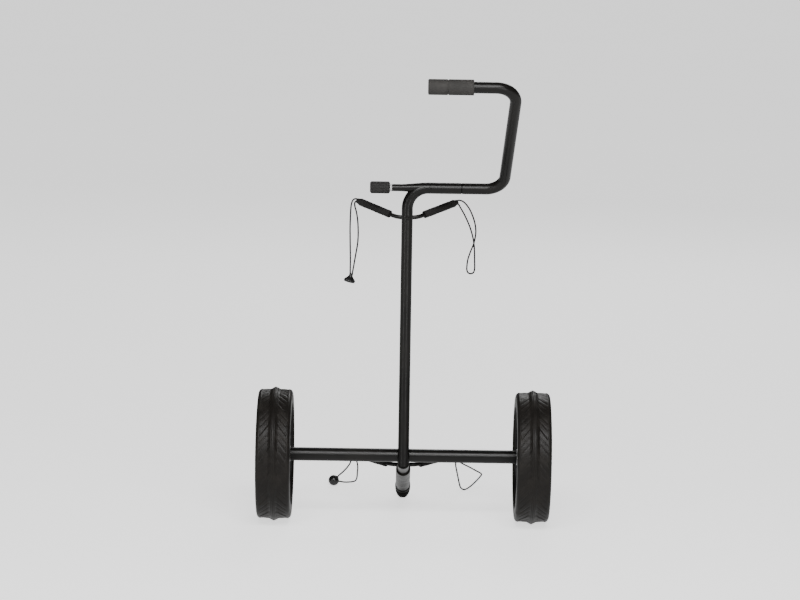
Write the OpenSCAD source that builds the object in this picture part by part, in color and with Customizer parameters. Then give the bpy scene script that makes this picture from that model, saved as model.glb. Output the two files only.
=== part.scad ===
// Two-wheeled tubular bag cart with a swinging C-handle, standing on its rear foot.
// Millimetres. +X to the user's right, +Y away from the user (bag side), +Z up.
// The origin is on the ground, under the middle of the cart.

/* [Wheels] */
// Diameter over the centre ridge of the tyre
wheel_d = 300; // [270:1:330]
// Width of the tyre
tyre_w = 76; // [66:1:84]
// Distance between the wheels' middle planes
track = 576; // [500:1:680]
// Height of the centre ridge above the tread
ridge_h = 5; // [2:0.5:6]
// Thickness of the tyre from rim to tread
tyre_h = 37; // [30:1:42]
// Number of spokes in a rim
spokes = 10; // [6:2:12]

/* [Axle] */
// Outer diameter of the axle tube
axle_d = 30; // [25:1:33]
// Wall of the axle tube
axle_wall = 1.5; // [1:0.25:2.5]
// Diameter of the axle pins
pin_d = 12; // [12:1:13]

/* [Main tube] */
// Outer diameter of the main tube and the handle tube
tube_d = 25; // [22:0.5:28]
// Wall of the main tube and the handle tube
tube_wall = 1.5; // [1:0.25:2]
// Height of the handle's pivot line above the ground
bar_h = 752; // [640:1:880]
// How far the main tube's axis stands in front of the axle line
mast_offset = 18; // [17:1:22]
// Forward lean of the main tube, in degrees
mast_lean = 3; // [0:0.5:6]
// Bend radius of the main tube, on its centre line
mast_bend = 46; // [40:1:60]
// Distance from the main tube to the handle joint
seam_x = 120; // [110:1:140]

/* [Handle] */
// Length of the handle's slanting leg, between the two bars
leg_l = 311; // [250:1:360]
// Backward tilt of the handle's leg, in degrees
handle_tilt = 40; // [20:1:50]
// Distance from the main tube to the lower corner
lower_corner_x = 212; // [205:1:240]
// Distance from the main tube to the upper corner
upper_corner_x = 231; // [215:1:260]
// Bend radius of the handle, on its centre line
handle_bend = 42; // [36:1:50]
// Outer diameter of the grip
grip_d = 34; // [31:0.5:38]
// Length of the grip
grip_l = 98; // [80:1:110]
// Distance from the main tube to the grip's closed end
grip_x = 40; // [20:1:60]

/* [Clamp knob] */
// Diameter of the knob
knob_d = 27; // [24:0.5:32]
// Length of the knob
knob_l = 44.4; // [34:0.2:50]
// Outer diameter of the small tube that carries the knob
knob_tube_d = 16; // [14:0.5:18]
// Distance from the main tube to the end of the small tube
knob_tube_x = 34.6; // [30:0.2:44]
// Thickness of the bright washer
knob_washer_t = 4; // [2:0.2:8]
// Diameter of the tie rod
tie_rod_d = 6; // [5:0.5:8]

/* [Foot] */
// Slope of the foot tube below the horizontal, in degrees
foot_slope = 22.8; // [20:0.2:25]
// Outer diameter of the foot tube
foot_d = 33; // [30:0.5:36]
// Wall of the foot tube
foot_wall = 1.5; // [1:0.25:3]
// Height of the foot cap's round nose above the ground, at its centre
nose_h = 25.5; // [23:0.5:32]
// Wall of the rubber foot cap
cap_wall = 1.3; // [1:0.1:2.5]
// Length of tube that the foot cap covers
cap_cover = 22; // [16:1:40]

/* [Cradles] */
// Diameter of the cradle rods
rod_d = 9.5; // [8:0.5:11]
// Outer diameter of the foam sleeves
sleeve_d = 17; // [13:0.5:18]
// Height of the upper cradle above the axle line, along the main tube
upper_rod_h = 536; // [440:1:560]
// Spread of the upper cradle's arms from straight, in degrees
upper_sweep = 39; // [25:1:50]
// Rise of the upper cradle's arms, in degrees
upper_rise = 22.8; // [5:0.2:30]
// Length of the upper cradle's arms from the corner
upper_arm_l = 106.5; // [80:0.5:130]
// Spread of the lower cradle's arms from straight, in degrees
lower_sweep = 50; // [35:1:60]
// Rise of the lower cradle's arms, in degrees
lower_rise = 1.5; // [0:0.5:6]
// Length of the lower cradle's arms from the corner
lower_arm_l = 141; // [100:1:150]
// Bend radius of the upper cradle rod, on its centre line
upper_bend = 40; // [30:1:44]
// Bend radius of the lower cradle rod, on its centre line
lower_bend = 30; // [20:1:32]

/* [Cords] */
// Diameter of the elastic cords
cord_d = 3.6; // [2.5:0.1:3.8]
// Diameter of the cord ball
ball_d = 26; // [22:1:30]

/* [Hidden] */
$fn = 64;

// clearances
run_gap = 0.05;
open_gap = 0.3;
over = 1;
big = 600;

// a bend is a hair fatter than the straights, which run a little way into it
bend_swell = 0.02;
bend_lap = 0.3;

// radii
wheel_r = wheel_d / 2;
crown_r = wheel_r - ridge_h;
seat_r = crown_r - tyre_h;
axle_r = axle_d / 2;
tube_r = tube_d / 2;
bore_r = tube_r - tube_wall;
foot_r = foot_d / 2;
rod_r = rod_d / 2;
sleeve_r = sleeve_d / 2;
pin_r = pin_d / 2;
tie_r = tie_rod_d / 2;
knob_tube_r = knob_tube_d / 2;
cord_r = cord_d / 2;
ball_r = ball_d / 2;
axle_z = wheel_r;

// the knee in front of the axle, where the upright turns into the foot
knee_drop = 14;
knee_y_rel = -mast_offset - knee_drop * sin(mast_lean);
knee_z = axle_z - knee_drop * cos(mast_lean);
mitre = (90 - foot_slope - mast_lean) / 2;
mast_h = (bar_h - axle_z) / cos(mast_lean);
knee_lap = 0.4;
bead_t = 3;
bead_h = 0.8;

// foot, measured down its axis from the knee
nose_s = (knee_z - nose_h) / sin(foot_slope);
nose_gap = 4;
foot_l = nose_s - nose_gap;
mouth_s = 66;
collar_l = 50;
stub_end_s = mouth_s + collar_l;
cap_r = foot_r + cap_wall;
toe_r = 7;
toe_steps = 8;
toe_inset = 0.1;
toe_y_rel = knee_y_rel + nose_s * cos(foot_slope);

// the cart is centred front to back between the foot's nose and the grip
bar_y_rel = mast_h * sin(mast_lean) - mast_offset;
back_rel = bar_y_rel - leg_l * sin(handle_tilt) - grip_d / 2;
front_rel = knee_y_rel + nose_s * cos(foot_slope) + cap_r;
axle_y = -(front_rel + back_rel) / 2;
bar_y = axle_y + bar_y_rel;

// knob, tie rod and handle joint
rod_end_gap = 8;
seam_t = 1.5;
seam_gap = 0.3;
seam_start_x = seam_x - 0.9;
handle_start_x = seam_start_x + seam_t + seam_gap;
spigot_in = 40;
spigot_out = 25;
grip_cap_t = 4;
grip_plug_l = 14;
groove_w = 2;
groove_depth = 1;
flutes = 22;
flute_r = 1.1;
knob_chamfer = 3;
knob_solid_l = 12;
knob_start_x = -knob_tube_x - knob_washer_t - open_gap - knob_l;
knob_tube_wall = 1.5;
knob_washer_r = knob_tube_r - 0.1;

// cradles
upper_flat = 8;
lower_flat = 14;
upper_corner = upper_flat + upper_bend * tan(upper_sweep / 2);
lower_corner = lower_flat + lower_bend * tan(lower_sweep / 2);
sleeve_x = 38;
sleeve_edge = 1;
plug_l = 9;
plug_flange_t = 2;
plug_peg_r = 2.6;
plug_peg_l = 10;
lower_rod_s = 52;
lower_rod_up = 7;
screw_r = 2;
screw_head_r = 4;
screw_head_h = 2.4;
nut_h = 3.2;
nut_r = 4;

// hub, along the wheel's axis from its middle plane, outwards positive
flange_in = -29.5;
flange_out = -25.5;
flange_r = 18;
axle_plug_l = 32;
hub_in = -25;
hub_out = 21;
hub_r = 24;
hub_bore_r = 9;
bearing_r = 14;
bearing_w = 8;
bearing_in_x = -24;
bearing_out_x = 12;
hub_cap_r = 27;
hub_cap_t = 3;
hub_cap_bore_r = 7.6;
pin_in = -60;
pin_out = 27;
release_r = 2.4;
release_bore_r = release_r + run_gap;
release_travel = 3;
release_head_r = 5.5;
release_head_l = 4;
release_head_x = pin_out + release_travel + open_gap;
release_neck_r = 1.4;
release_neck_l = 5.5;
detent_r = 2.25;
detent_seat = 4.75;
ball_x = bearing_out_x + bearing_w + detent_r + 0.2;
neck_x = ball_x + 0.9;
spring_in = -25;
spring_out = -5;
spring_wire_r = 0.35;
spring_r = 1.9;
spring_turns = 7;

// rim and tyre
barrel_w = 66;
barrel_t = 5;
rim_lip_h = 7;
rim_lip_t = 4;
shoulder_r = 9;
ridge_foot = 11;
ridge_top = 1.5;
spoke_spread = 14;
spoke_in = -12;
spoke_out = 14;
spoke_sink = 2;

// cord routes, chosen by hand, measured from the axle line on the ground
hook_tip = [-124.5, 104, 543];
ball_at = [-164, 356, 13];
upper_left_outer = [
    [-110, 92, 715], [-116, 96.5, 716.5], [-122, 101, 713], [-125.5, 103.5, 704], [-127, 104, 690],
    [-128, 104, 655], [-127.5, 104, 620], [-126.5, 104, 580], [-126.5, 104, 541]
];
upper_left_inner = [
    [-110, 92, 711], [-114.5, 95.5, 711.5], [-118, 98.5, 707], [-117.5, 101, 698], [-114, 103, 685],
    [-110.5, 104, 660], [-110, 104, 621], [-116, 104, 580], [-122.5, 104, 541]
];
upper_right_loop = [
    [110, 92, 715], [116, 96.5, 716.5], [126, 101, 713], [138, 103, 700], [148, 104, 680],
    [154, 104, 660], [155.5, 104.5, 642], [151.5, 106, 618], [144, 106, 598], [138.5, 105, 580],
    [137, 104, 567], [137, 103.5, 558], [139.5, 103, 552], [145.5, 103, 549.5], [151.5, 103, 552],
    [154, 103, 558], [154, 102.5, 580], [151.5, 101.5, 620], [144, 101, 650], [131, 101, 680],
    [119, 99, 701], [114, 96, 709], [110, 92, 711]
];
lower_left_outer = [
    [-122, 144, 126.5], [-127, 150, 126.5], [-130, 160, 123], [-128, 185, 110], [-122, 230, 87],
    [-128, 265, 68], [-140, 300, 47], [-152, 330, 30], [-159, 347, 18]
];
lower_left_inner = [
    [-122, 144, 122.5], [-126, 149.5, 121.5], [-126, 160, 117], [-118, 190, 104.5], [-108.5, 230, 87],
    [-106, 260, 68], [-107, 290, 49], [-110.5, 350, 17], [-116, 370, 8], [-126, 381, 4],
    [-138, 381, 3.5], [-147, 374, 6], [-154, 366, 9]
];
lower_right_loop = [
    [122, 144, 122.5], [126.5, 150, 121.5], [128, 162, 116], [125, 195, 102], [122.5, 230, 84],
    [128, 275, 50], [133.5, 303, 22], [137.5, 318, 8], [145.5, 325, 2], [155, 329, 5],
    [164, 330.5, 12], [174, 330, 22], [182, 327, 32], [186, 320, 39.5], [184, 310, 45],
    [172, 288, 56], [152, 258, 72.5], [133, 230, 88], [127, 190, 107], [129, 165, 119],
    [127, 151, 126], [122, 144, 126.5]
];

// helpers

function unit(v) = v / norm(v);

function heading(pts, i) = unit(pts[min(i + 1, len(pts) - 1)] - pts[max(i - 1, 0)]);

// the reference direction is the one of the world axes that is least along the route
function side_of(d) = abs(d[2]) < 0.8 ? unit(cross(d, [0, 0, 1])) : unit(cross(d, [0, 1, 0]));

// carries a sideways direction along the route so that the rings don't twist
function carried(pts, i) =
    i == 0 ? side_of(heading(pts, 0))
    : let (before = carried(pts, i - 1), d = heading(pts, i)) unit(before - d * (before * d));

module cord(pts, r, sides) {
    n = len(pts);
    ring = [for (i = [0:n - 1])
        let (d = heading(pts, i), u = carried(pts, i), v = cross(d, u))
        for (k = [0:sides - 1]) pts[i] + r * (u * cos(360 * k / sides) + v * sin(360 * k / sides))];
    first = [[for (k = [0:sides - 1]) k]];
    last = [[for (k = [sides - 1:-1:0]) (n - 1) * sides + k]];
    wall = [for (i = [0:n - 2]) for (k = [0:sides - 1])
        let (a = i * sides + k, b = i * sides + (k + 1) % sides)
            each [[a, a + sides, b], [b, a + sides, b + sides]]];
    polyhedron(points = ring, faces = concat(first, last, wall), convexity = 4);
}

function turn(pts, i) = heading_of(pts, i) - heading_of(pts, i - 1);

function heading_of(pts, i) = atan2(pts[i + 1][1] - pts[i][1], pts[i + 1][0] - pts[i][0]);

function span(pts, i) = norm(pts[i + 1] - pts[i]);

function inset(pts, bend, i) = (i == 0 || i == len(pts) - 1) ? 0 : bend * tan(abs(turn(pts, i)) / 2);

// a round bar bent in its own XZ plane through the points, its ends lengthened by ext
module bent_bar(pts, bend, r, ext = 0) {
    n = len(pts);
    for (i = [0:n - 2]) {
        a = heading_of(pts, i);
        lead = i == 0 ? -ext : inset(pts, bend, i) - bend_lap;
        tail = i == n - 2 ? -ext : inset(pts, bend, i + 1) - bend_lap;
        translate([pts[i][0], 0, pts[i][1]])
        rotate([0, 90 - a, 0])
        translate([0, 0, lead])
        cylinder(r = r, h = span(pts, i) - lead - tail);
    }
    for (i = [1:n - 2]) {
        a = heading_of(pts, i - 1);
        b = heading_of(pts, i);
        left = turn(pts, i) > 0;
        s = left ? 1 : -1;
        t = inset(pts, bend, i);
        cx = pts[i][0] - t * cos(a) - s * bend * sin(a);
        cz = pts[i][1] - t * sin(a) + s * bend * cos(a);
        translate([cx, 0, cz])
        rotate([90, 0, 0])
        rotate([0, 0, left ? a - 90 : b + 90])
        rotate_extrude(angle = abs(turn(pts, i)))
        translate([bend, 0])
        circle(r = r + bend_swell);
    }
}

module ring(r_out, r_in, h) {
    difference() {
        cylinder(r = r_out, h = h);
        translate([0, 0, -over]) cylinder(r = r_in, h = h + 2 * over);
    }
}

// lays a shape built along +Z along +X
module along_x() {
    rotate([0, 90, 0]) children();
}

module at_mast(h = 0) {
    translate([0, axle_y - mast_offset, axle_z])
    rotate([-mast_lean, 0, 0])
    translate([0, 0, h])
    children();
}

module at_bar() {
    translate([0, bar_y, bar_h]) children();
}

module at_handle() {
    at_bar() rotate([handle_tilt, 0, 0]) children();
}

module at_knee(a) {
    at_mast(-knee_drop) rotate([a + mast_lean, 0, 0]) children();
}

// +Z runs back up the foot tube from s millimetres down it
module at_foot(s) {
    at_knee(90 - foot_slope) translate([0, 0, -s]) children();
}

module at_upper_rod() {
    at_mast(upper_rod_h)
    translate([0, tube_r + rod_r, 0])
    rotate([mast_lean + upper_rise - 90, 0, 0])
    children();
}

module at_lower_rod() {
    at_foot(lower_rod_s)
    translate([0, lower_rod_up, 0])
    rotate([foot_slope + lower_rise - 180, 0, 0])
    children();
}

// side is 1 for the right wheel and -1 for the left one; +X points outwards
module at_wheel(side) {
    translate([side * track / 2, axle_y, axle_z])
    mirror([side < 0 ? 1 : 0, 0, 0])
    children();
}

module axle_space(r) {
    translate([-track / 2, axle_y, axle_z]) along_x() cylinder(r = r, h = track);
}

// the half of space above (side 1) or below (side -1) the knee's mitre plane, moved up by lap
module knee_half(side, lap = 0) {
    at_knee(mitre) translate([0, 0, side * big + lap]) cube(2 * big, center = true);
}

module mast_bar(r, ext) {
    mast_points = [[0, -60], [0, mast_h], [seam_start_x, mast_h]];
    intersection() {
        at_mast() bent_bar(mast_points, mast_bend, r, ext);
        knee_half(1);
    }
}

module stub_bar(r, ext) {
    intersection() {
        at_foot(stub_end_s + ext) cylinder(r = r, h = stub_end_s + 60 + ext);
        knee_half(-1, knee_lap);
    }
}

// frame

module knee_bead() {
    intersection() {
        union() {
            at_mast(-60) cylinder(r = tube_r + bead_h, h = 100);
            at_foot(60) cylinder(r = tube_r + bead_h, h = 100);
        }
        at_knee(mitre) cube([60, 60, bead_t], center = true);
    }
}

module main_tube() {
    color("dimgray")
    difference() {
        union() {
            mast_bar(tube_r, 0);
            stub_bar(tube_r, 0);
            knee_bead();
        }
        mast_bar(bore_r, over);
        stub_bar(bore_r, over);
        axle_space(axle_r);
        at_bar() translate([-tube_d, 0, 0]) along_x() cylinder(r = tie_r + open_gap, h = tube_d + mast_bend);
        at_screw() cylinder(r = screw_r, h = 3 * tube_d, center = true);
        at_lower_rod() along_x() cylinder(r = rod_r, h = 2 * tube_d, center = true);
    }
}

module knob_tube() {
    color("dimgray")
    difference() {
        at_bar() translate([-knob_tube_x, 0, 0]) along_x()
            cylinder(r = knob_tube_r, h = knob_tube_x + mast_bend);
        at_bar() translate([-knob_tube_x - over, 0, 0]) along_x()
            cylinder(r = knob_tube_r - knob_tube_wall, h = knob_tube_x + 2 * mast_bend);
        mast_bar(tube_r, 0);
    }
}

module axle_tube() {
    color("dimgray")
    translate([-track / 2 - flange_in, axle_y, axle_z])
    along_x()
    ring(axle_r, axle_r - axle_wall, track + 2 * flange_in);
}

module foot_tube() {
    color("dimgray") at_foot(foot_l) ring(foot_r, foot_r - foot_wall, foot_l - mouth_s);
}

module foot_collar() {
    color("dimgray") at_foot(stub_end_s) ring(foot_r - foot_wall, tube_r, collar_l);
}

// half an egg that stands on its flat end, as wide at its top as the cap
module toe() {
    egg_r = cap_r - toe_inset;
    egg_h = nose_h / sqrt(1 - pow(toe_r / egg_r, 2));
    outline = [for (i = [0:toe_steps]) let (z = nose_h * i / toe_steps)
        [egg_r * sqrt(1 - pow((nose_h - z) / egg_h, 2)), z]];
    rotate_extrude() polygon(concat([[0, 0]], outline, [[0, nose_h]]));
}

module foot_cap() {
    color([0.08, 0.08, 0.08])
    difference() {
        union() {
            at_foot(nose_s) cylinder(r = cap_r, h = cap_cover + nose_gap);
            at_foot(nose_s) sphere(r = cap_r);
            translate([0, axle_y + toe_y_rel, 0]) toe();
        }
        at_foot(foot_l) cylinder(r = foot_r, h = cap_cover + over);
    }
}

// +Z runs backwards through the upright and the upper cradle rod
module at_screw() {
    at_mast(upper_rod_h) rotate([-90, 0, 0]) children();
}

module upper_rod() {
    color("dimgray")
    difference() {
        at_upper_rod() cradle_bar(upper_sweep, upper_corner, upper_arm_l, upper_bend);
        at_screw() cylinder(r = screw_r, h = 3 * tube_d, center = true);
    }
}

module lower_rod() {
    color("dimgray") at_lower_rod() cradle_bar(lower_sweep, lower_corner, lower_arm_l, lower_bend);
}

// a round rod with both arms bent back, drilled at its ends for the plugs
module cradle_bar(sweep, corner, arm, bend) {
    reach = corner + arm * cos(sweep);
    rise = arm * sin(sweep);
    difference() {
        bent_bar([[-reach, rise], [-corner, 0], [corner, 0], [reach, rise]], bend, rod_r);
        for (side = [-1, 1])
            on_arm(side, sweep, corner) translate([0, 0, arm - plug_peg_l])
                cylinder(r = plug_peg_r, h = plug_peg_l + over);
    }
}

// carries a shape to a cradle arm: +Z runs out along the arm from its corner
module on_arm(side, sweep, corner) {
    mirror([side < 0 ? 1 : 0, 0, 0])
    translate([corner, 0, 0])
    rotate([0, 90 - sweep, 0])
    children();
}

module sleeve(side, sweep, corner, arm) {
    start = (sleeve_x - corner) / cos(sweep);
    l = arm - start;
    on_arm(side, sweep, corner)
    translate([0, 0, start])
    difference() {
        union() {
            cylinder(r1 = sleeve_r - sleeve_edge, r2 = sleeve_r, h = sleeve_edge);
            translate([0, 0, sleeve_edge]) cylinder(r = sleeve_r, h = l - 2 * sleeve_edge);
            translate([0, 0, l - sleeve_edge])
                cylinder(r1 = sleeve_r, r2 = sleeve_r - sleeve_edge, h = sleeve_edge);
        }
        translate([0, 0, -over]) cylinder(r = rod_r, h = l + 2 * over);
    }
}

// a moulded end plug: a peg in the rod, a flange against the sleeve and a nose that the cord leaves
module end_plug(side, sweep, corner, arm) {
    on_arm(side, sweep, corner) translate([0, 0, arm]) {
        translate([0, 0, -plug_peg_l]) cylinder(r = plug_peg_r, h = plug_peg_l + over);
        cylinder(r = sleeve_r - sleeve_edge, h = plug_flange_t);
        translate([0, 0, plug_flange_t])
            cylinder(r1 = sleeve_r - 1.5, r2 = sleeve_r - 2.8, h = plug_l - plug_flange_t);
    }
}

module upper_left_sleeve() {
    color([0.15, 0.15, 0.15]) at_upper_rod() sleeve(-1, upper_sweep, upper_corner, upper_arm_l);
}

module upper_right_sleeve() {
    color([0.15, 0.15, 0.15]) at_upper_rod() sleeve(1, upper_sweep, upper_corner, upper_arm_l);
}

module lower_left_sleeve() {
    color([0.15, 0.15, 0.15]) at_lower_rod() sleeve(-1, lower_sweep, lower_corner, lower_arm_l);
}

module lower_right_sleeve() {
    color([0.15, 0.15, 0.15]) at_lower_rod() sleeve(1, lower_sweep, lower_corner, lower_arm_l);
}

module upper_left_plug() {
    color([0.1, 0.1, 0.1]) at_upper_rod() end_plug(-1, upper_sweep, upper_corner, upper_arm_l);
}

module upper_right_plug() {
    color([0.1, 0.1, 0.1]) at_upper_rod() end_plug(1, upper_sweep, upper_corner, upper_arm_l);
}

module lower_left_plug() {
    color([0.1, 0.1, 0.1]) at_lower_rod() end_plug(-1, lower_sweep, lower_corner, lower_arm_l);
}

module lower_right_plug() {
    color([0.1, 0.1, 0.1]) at_lower_rod() end_plug(1, lower_sweep, lower_corner, lower_arm_l);
}

module cradle_screw() {
    l = tube_r + tube_r + rod_d + nut_h;
    color("silver")
    at_screw() {
        translate([0, 0, -tube_r]) cylinder(r = screw_r, h = l);
        translate([0, 0, -tube_r - screw_head_h])
            cylinder(r1 = screw_head_r - 1, r2 = screw_head_r, h = screw_head_h);
    }
}

module cradle_nut() {
    color("silver")
    at_screw()
    translate([0, 0, tube_r + rod_d])
    difference() {
        cylinder(r = nut_r, h = nut_h, $fn = 6);
        translate([0, 0, -over]) cylinder(r = screw_r, h = nut_h + 2 * over);
    }
}

module knob_washer() {
    color("silver")
    at_bar() translate([-knob_tube_x - knob_washer_t, 0, 0]) along_x()
    ring(knob_washer_r, tie_r + run_gap, knob_washer_t);
}

module seam_ring() {
    color([0.1, 0.1, 0.1])
    at_bar() translate([seam_start_x, 0, 0]) along_x()
    ring(tube_r - 0.6, bore_r, seam_t);
}

// axle ends

module axle_plug(side) {
    at_wheel(side) translate([flange_in - axle_plug_l, 0, 0]) along_x()
    ring(axle_r - axle_wall, pin_r, axle_plug_l);
}

module axle_plugs() {
    color("silver") for (side = [-1, 1]) axle_plug(side);
}

module axle_pin(side) {
    at_wheel(side)
    difference() {
        translate([pin_in, 0, 0]) along_x() cylinder(r = pin_r, h = pin_out - pin_in);
        translate([spring_in, 0, 0]) along_x() cylinder(r = release_bore_r, h = pin_out - spring_in + over);
        translate([ball_x, 0, 0]) rotate([90, 0, 0])
            cylinder(r = detent_r + run_gap, h = 2 * pin_d, center = true);
    }
}

module left_axle_pin() {
    color("silver") axle_pin(-1);
}

module right_axle_pin() {
    color("silver") axle_pin(1);
}

module hub_flanges() {
    color("silver")
    for (side = [-1, 1])
        at_wheel(side) translate([flange_in, 0, 0]) along_x() ring(flange_r, pin_r, flange_out - flange_in);
}

module detent_balls() {
    color("silver")
    for (side = [-1, 1])
        for (s = [-1, 1])
            at_wheel(side) translate([ball_x, s * detent_seat, 0]) sphere(r = detent_r);
}

// the neck comes under the balls when the button is pushed in, and lets them drop
module release_pin(side) {
    head_end = release_head_x + release_head_l;
    at_wheel(side) along_x() {
        translate([0, 0, spring_out]) cylinder(r = release_r, h = neck_x - spring_out);
        translate([0, 0, neck_x - over]) cylinder(r = release_neck_r, h = release_neck_l + 2 * over);
        translate([0, 0, neck_x + release_neck_l])
            cylinder(r = release_r, h = release_head_x + over - neck_x - release_neck_l);
        translate([0, 0, release_head_x]) cylinder(r = release_head_r, h = release_head_l - 1);
        translate([0, 0, head_end - 1]) cylinder(r1 = release_head_r, r2 = release_head_r - 1, h = 1);
    }
}

module left_release_pin() {
    color("silver") release_pin(-1);
}

module right_release_pin() {
    color("silver") release_pin(1);
}

module release_spring(side) {
    end_gap = 0.1;
    l = spring_out - spring_in - 2 * (spring_wire_r + end_gap);
    steps = spring_turns * 12;
    start = spring_in + end_gap + spring_wire_r;
    coil = [for (i = [0:steps])
        [start + l * i / steps, spring_r * cos(30 * i), spring_r * sin(30 * i)]];
    at_wheel(side) cord(coil, spring_wire_r, 6);
}

module left_release_spring() {
    color("silver") release_spring(-1);
}

module right_release_spring() {
    color("silver") release_spring(1);
}

// cords

module from_axle() {
    translate([0, axle_y, 0]) children();
}

module free_cord(route) {
    color([0.08, 0.08, 0.08]) from_axle() cord(route, cord_r, 8);
}

module upper_left_cord_outer() {
    free_cord(upper_left_outer);
}

module upper_left_cord_inner() {
    free_cord(upper_left_inner);
}

module upper_right_cord() {
    free_cord(upper_right_loop);
}

module lower_left_cord_outer() {
    free_cord(lower_left_outer);
}

module lower_left_cord_inner() {
    free_cord(lower_left_inner);
}

module lower_right_cord() {
    free_cord(lower_right_loop);
}

// a flared plastic hook that the upper left cord ends in
module cord_hook() {
    color([0.1, 0.1, 0.1])
    from_axle()
    translate(hook_tip)
    rotate([0, 14, 0])
    rotate([180, 0, 0]) {
        translate([0, 0, -3]) cylinder(r1 = 4, r2 = 4.5, h = 5);
        translate([0, 0, 2]) cylinder(r1 = 4.5, r2 = 13, h = 12);
        translate([0, 0, 14]) cylinder(r = 13, h = 3);
    }
}

module cord_ball() {
    color([0.1, 0.1, 0.1]) from_axle() translate([ball_at[0], ball_at[1], ball_r]) sphere(r = ball_r);
}

// handle

module handle_tube() {
    handle_points = [
        [handle_start_x, 0], [lower_corner_x, 0], [upper_corner_x, leg_l], [grip_x + grip_cap_t, leg_l]
    ];
    color("dimgray")
    at_handle()
    difference() {
        bent_bar(handle_points, handle_bend, tube_r);
        bent_bar(handle_points, handle_bend, bore_r, over);
    }
}

// turns inside the main tube's bar and holds the tie rod's thread
module handle_spigot() {
    inner_l = handle_start_x - seam_x + spigot_in;
    color("silver")
    at_bar()
    translate([seam_x - spigot_in, 0, 0])
    along_x()
    difference() {
        union() {
            cylinder(r = bore_r - run_gap, h = inner_l);
            translate([0, 0, inner_l]) cylinder(r = bore_r, h = spigot_out);
        }
        translate([0, 0, -over]) cylinder(r = tie_r + run_gap, h = spigot_in + spigot_out);
    }
}

module grip() {
    grip_r = grip_d / 2;
    groove_x = grip_l * 0.43;
    color([0.12, 0.12, 0.12])
    at_handle() translate([grip_x, 0, leg_l]) along_x()
    difference() {
        union() {
            cylinder(r1 = grip_r - 2, r2 = grip_r, h = 2);
            translate([0, 0, 2]) cylinder(r = grip_r, h = grip_l - 3);
            translate([0, 0, grip_l - 1]) cylinder(r1 = grip_r, r2 = grip_r - 1, h = 1);
        }
        translate([0, 0, grip_cap_t]) cylinder(r = tube_r, h = grip_l);
        translate([0, 0, groove_x]) ring(grip_d, grip_r - groove_depth, groove_w);
    }
}

module grip_plug() {
    color([0.2, 0.2, 0.2])
    at_handle() translate([grip_x + grip_cap_t, 0, leg_l]) along_x() cylinder(r = bore_r, h = grip_plug_l);
}

// knob

module clamp_knob() {
    knob_r = knob_d / 2;
    color([0.12, 0.12, 0.12])
    at_bar() translate([knob_start_x, 0, 0]) along_x()
    difference() {
        union() {
            cylinder(r1 = knob_r - knob_chamfer, r2 = knob_r, h = knob_chamfer);
            translate([0, 0, knob_chamfer]) cylinder(r = knob_r, h = knob_l - 2 * knob_chamfer);
            translate([0, 0, knob_l - knob_chamfer])
                cylinder(r1 = knob_r, r2 = knob_r - knob_chamfer, h = knob_chamfer);
        }
        for (i = [0:flutes - 1])
            rotate([0, 0, 360 * i / flutes])
            translate([knob_r + 0.3, 0, -over])
            cylinder(r = flute_r, h = knob_l + 2 * over);
        translate([0, 0, knob_solid_l]) cylinder(r = tie_r, h = knob_l);
    }
}

module tie_rod() {
    start = knob_start_x + knob_solid_l;
    color("silver")
    at_bar() translate([start, 0, 0]) along_x() cylinder(r = tie_r, h = seam_x + rod_end_gap - start);
}

// wheels

// the tyre's section above the rim, radius along X and width along Y
module tyre_section() {
    half = tyre_w / 2;
    groove_x = barrel_w / 2 - rim_lip_t;
    lip_space = half - groove_x + over;
    difference() {
        union() {
            translate([seat_r, -half + shoulder_r]) square([tyre_h, tyre_w - 2 * shoulder_r]);
            translate([seat_r, -half]) square([tyre_h - shoulder_r, tyre_w]);
            for (s = [-1, 1])
                translate([crown_r - shoulder_r, s * (half - shoulder_r)]) circle(r = shoulder_r);
            polygon([
                [crown_r - over, -ridge_foot], [crown_r, -ridge_foot], [wheel_r, -ridge_top],
                [wheel_r, ridge_top], [crown_r, ridge_foot], [crown_r - over, ridge_foot]
            ]);
        }
        for (s = [-1, 1])
            translate([seat_r - over, s < 0 ? -half - over : groove_x]) square([rim_lip_h + over, lip_space]);
    }
}

module tyre(side) {
    at_wheel(side) along_x() rotate_extrude() tyre_section();
}

// the rim's barrel with its two lips, radius along X and width along Y
module barrel_section() {
    half = barrel_w / 2;
    inner = seat_r - barrel_t;
    lip = seat_r + rim_lip_h;
    polygon([
        [inner, -half], [lip, -half], [lip, rim_lip_t - half], [seat_r, rim_lip_t - half],
        [seat_r, half - rim_lip_t], [lip, half - rim_lip_t], [lip, half], [inner, half]
    ]);
}

// barrel, hub, and spokes in close pairs
module rim(side) {
    at_wheel(side)
    along_x()
    difference() {
        union() {
            rotate_extrude() barrel_section();
            translate([0, 0, hub_in]) cylinder(r = hub_r, h = hub_out - hub_in);
            for (i = [0:spokes / 2 - 1])
                for (s = [-1, 1])
                    rotate([0, 0, 720 * i / spokes + s * spoke_spread]) rim_spoke();
        }
        translate([0, 0, hub_in - over]) cylinder(r = hub_bore_r, h = hub_out - hub_in + 2 * over);
        translate([0, 0, hub_in - over])
            cylinder(r = bearing_r, h = bearing_in_x + bearing_w - hub_in + over);
        translate([0, 0, bearing_out_x]) cylinder(r = bearing_r, h = hub_out - bearing_out_x + over);
    }
}

// widens where it meets the barrel
module rim_spoke() {
    root = hub_r - spoke_sink;
    tip = seat_r - barrel_t + 1;
    flare = tip - 12;
    translate([0, 0, spoke_in])
    linear_extrude(height = spoke_out - spoke_in)
    polygon([[root, -5], [flare, -4], [tip, -9], [tip, 9], [flare, 4], [root, 5]]);
}

module bearings(side) {
    at_wheel(side)
    for (x = [bearing_in_x, bearing_out_x])
        translate([x, 0, 0]) along_x() ring(bearing_r, pin_r + run_gap, bearing_w);
}

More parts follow.
